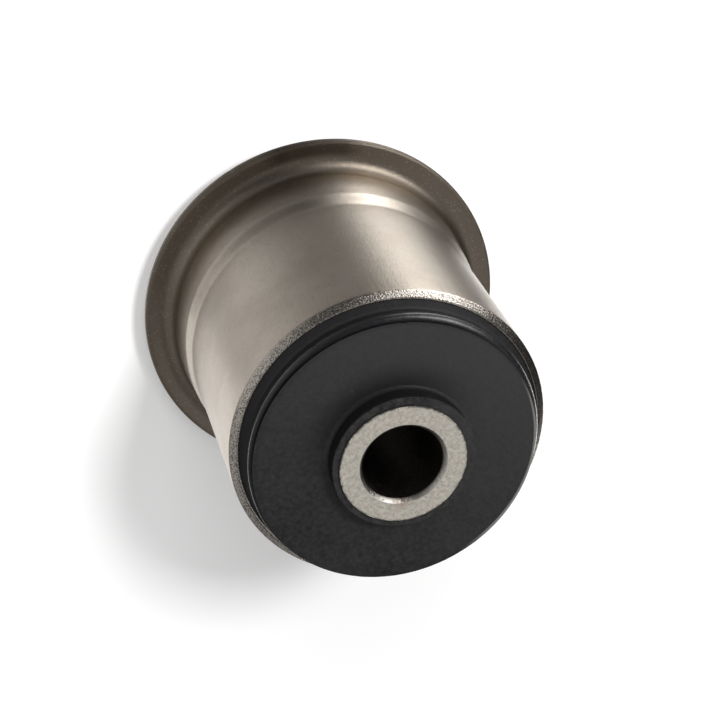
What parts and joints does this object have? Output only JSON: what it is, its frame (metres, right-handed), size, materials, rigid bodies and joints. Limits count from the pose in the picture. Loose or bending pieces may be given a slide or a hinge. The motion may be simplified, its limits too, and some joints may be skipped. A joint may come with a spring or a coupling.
{
  "type": "rubber metal bush",
  "caption": "Flanged rubber-metal bush: a thick steel tube bonded by a rubber body inside a drawn steel shell with a round flange.",
  "frame": {"origin": "centre of the tube's plain end ring, on the axis, where the bush stands", "axes": "+Z along the axis of tube and shell, from the flange end to the rubber disc; X and Y are equal"},
  "size_m": [0.0618, 0.0618, 0.06],
  "materials": {
    "shell_steel": "satin drawn steel, lightly soiled",
    "rubber": "matt moulded rubber, glossier on its side wall",
    "tube_steel": "cut and pitted steel end, phosphated bore"
  },
  "bodies": {
    "root": {"outer_sleeve": "shell_steel", "rubber_body": "rubber", "inner_sleeve": "tube_steel"}
  },
  "joints": []
}
